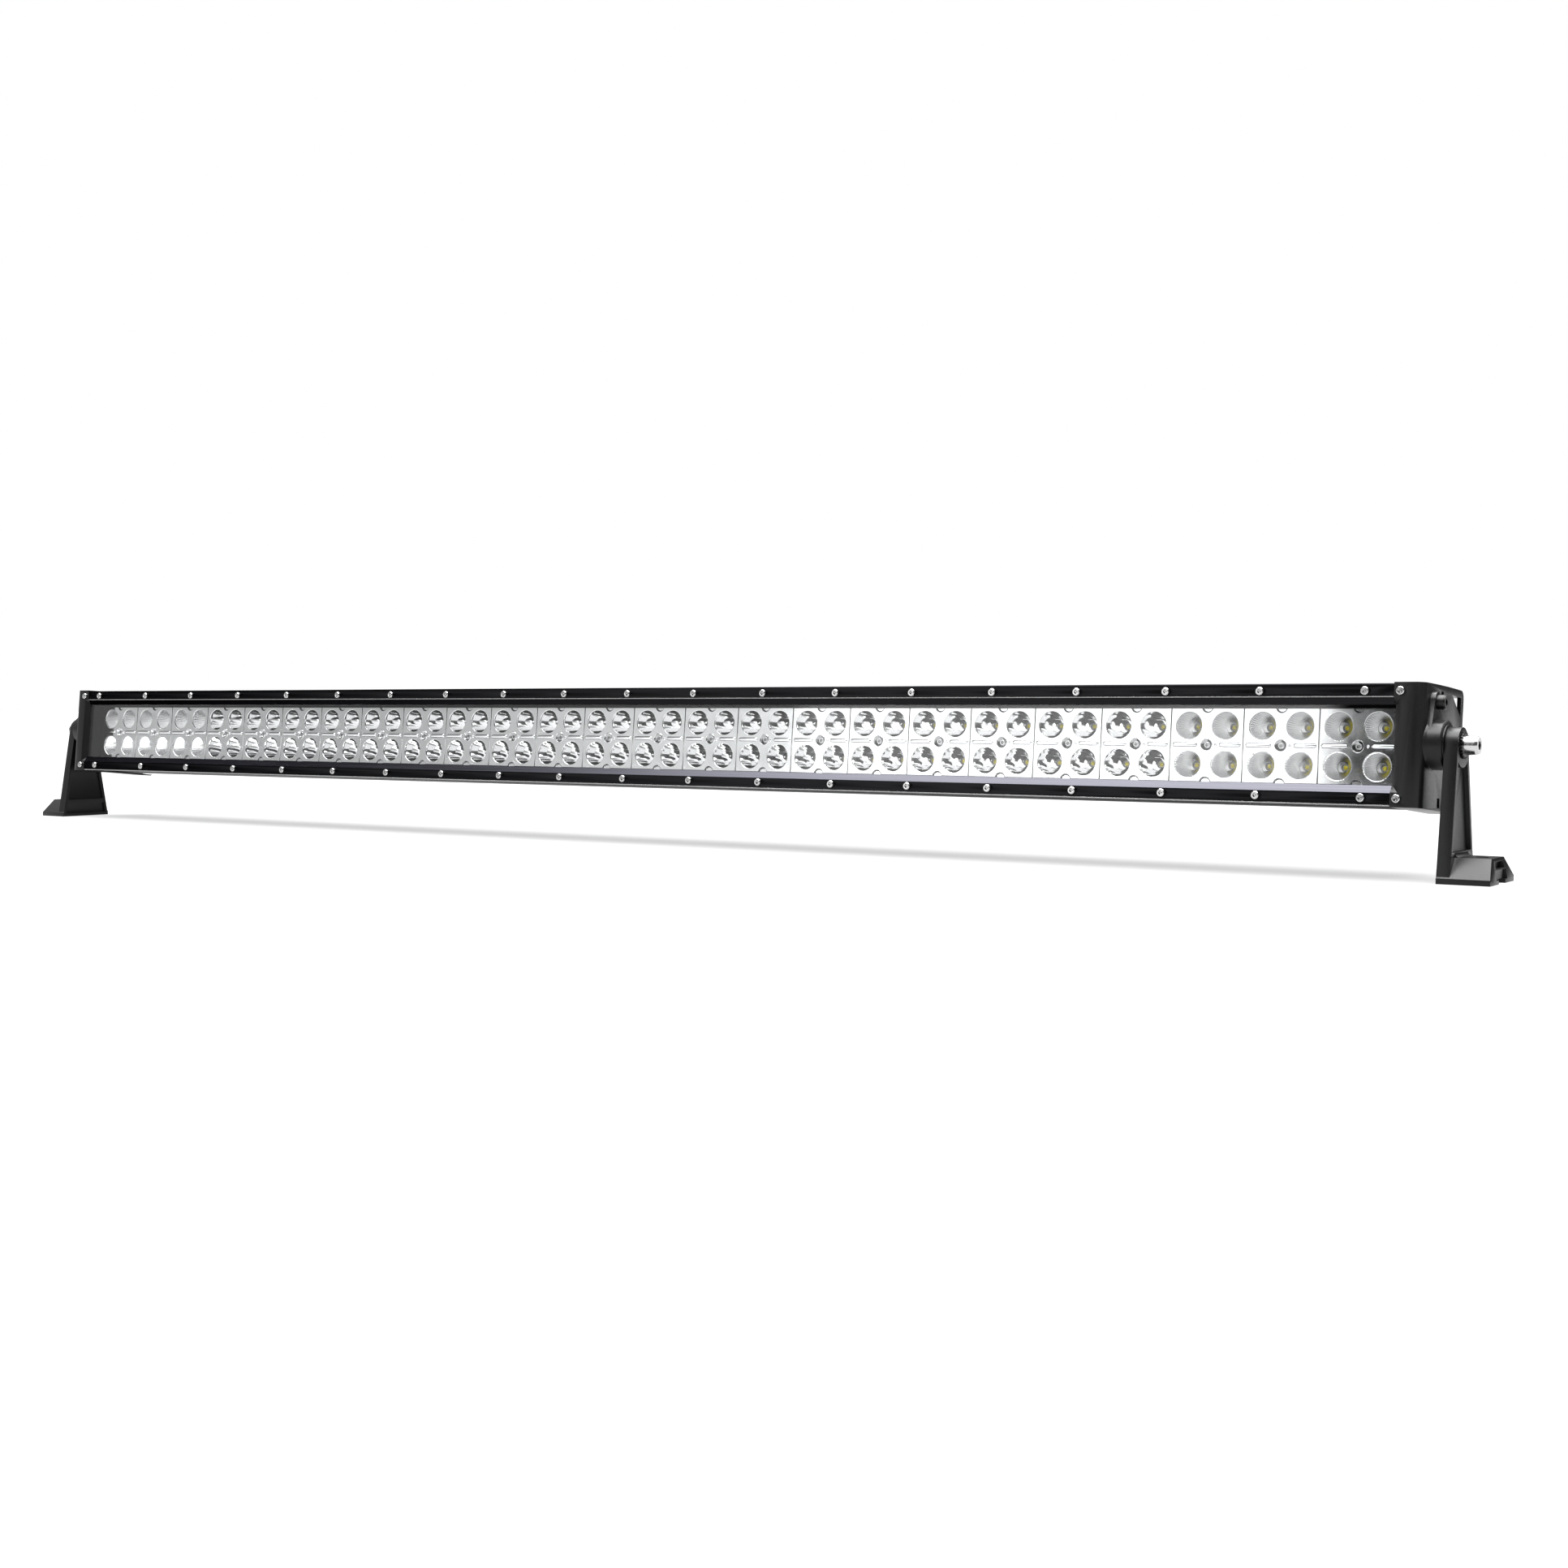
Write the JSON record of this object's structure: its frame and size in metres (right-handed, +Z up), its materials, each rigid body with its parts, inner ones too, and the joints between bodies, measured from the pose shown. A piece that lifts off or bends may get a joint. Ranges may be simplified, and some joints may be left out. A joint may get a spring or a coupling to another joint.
{
  "type": "led light bar",
  "caption": "Long double-row LED light bar for trucks and trailers: finned housing, clear lens, reflector cups, and a head that tilts between two foot brackets.",
  "frame": {"origin": "on the mounting plane, midway between the two bracket bolt holes, straight below the tilt axis", "axes": "+X along the bar, +Z up from the mounting plane, the light shines towards -Y"},
  "size_m": [1.376, 0.0981, 0.1209],
  "materials": {
    "black_anodised": "satin black anodised extrusion",
    "black_powder_coat": "fine-textured satin black powder coat on a casting",
    "clear_lens": "clear polycarbonate",
    "metallised_reflector": "vacuum-metallised moulding",
    "stainless": "bright stainless",
    "black_oxide_steel": "black oxide",
    "white_board": "white solder mask",
    "led_emitter": "yellow phosphor under a clear dome",
    "green_board": "green solder mask",
    "component_plastic": "moulded packages and sleeved capacitors",
    "brass": "turned",
    "seal_rubber": "silicone rubber",
    "wire_insulation": "silicone wire insulation",
    "black_nylon": "moulded nylon"
  },
  "bodies": {
    "left_bracket": {"left_bracket": "black_powder_coat"},
    "head": {"housing": "black_anodised", "top_rail": "black_anodised", "bottom_rail": "black_anodised", "lens": "clear_lens", "lens_gasket": "seal_rubber", "reflector_screws": "stainless", "led_boards": "white_board", "led_chips": "led_emitter", "board_links": "white_board", "top_rail_screws": "stainless", "bottom_rail_screws": "stainless", "corner_screws": "stainless", "left_end_cap": "black_powder_coat", "right_end_cap": "black_powder_coat", "left_end_gasket": "seal_rubber", "right_end_gasket": "seal_rubber", "left_cap_bolts": "black_oxide_steel", "right_cap_bolts": "black_oxide_steel", "left_pivot_bolt": "stainless", "right_pivot_bolt": "stainless", "left_pivot_washer": "black_oxide_steel", "right_pivot_washer": "black_oxide_steel", "driver_board": "green_board", "driver_components": "component_plastic", "driver_standoffs": "brass", "led_leads": "wire_insulation", "lead_grommet": "seal_rubber", "cable_gland": "black_nylon", "gland_seal": "seal_rubber", "gland_nut": "black_nylon", "gland_locknut": "black_nylon", "breather_vent": "black_nylon", "reflector_01": "metallised_reflector", "reflector_02": "metallised_reflector", "reflector_03": "metallised_reflector", "reflector_04": "metallised_reflector", "reflector_05": "metallised_reflector", "reflector_06": "metallised_reflector", "reflector_07": "metallised_reflector", "reflector_08": "metallised_reflector", "reflector_09": "metallised_reflector", "reflector_10": "metallised_reflector", "reflector_11": "metallised_reflector", "reflector_12": "metallised_reflector", "reflector_13": "metallised_reflector", "reflector_14": "metallised_reflector", "reflector_15": "metallised_reflector", "reflector_16": "metallised_reflector", "reflector_17": "metallised_reflector", "reflector_18": "metallised_reflector", "reflector_19": "metallised_reflector", "reflector_20": "metallised_reflector", "reflector_21": "metallised_reflector", "reflector_22": "metallised_reflector", "reflector_23": "metallised_reflector", "reflector_24": "metallised_reflector", "reflector_25": "metallised_reflector"},
    "right_bracket": {"right_bracket": "black_powder_coat"}
  },
  "joints": [
    {"name": "head_tilt", "type": "hinge", "parent": "left_bracket", "child": "head", "pos_m": [0, 0, 0.0825], "axis": [1, 0, 0], "range_deg": [-84.5, 95.5]},
    {"name": "right_bracket_pivot", "type": "hinge", "parent": "head", "child": "right_bracket", "pos_m": [0, 0, 0.0825], "axis": [1, 0, 0], "range_deg": [-95.5, 84.5]}
  ],
  "couplings": [
    {"joint": "right_bracket_pivot", "follows": "head_tilt", "ratio": -1}
  ]
}
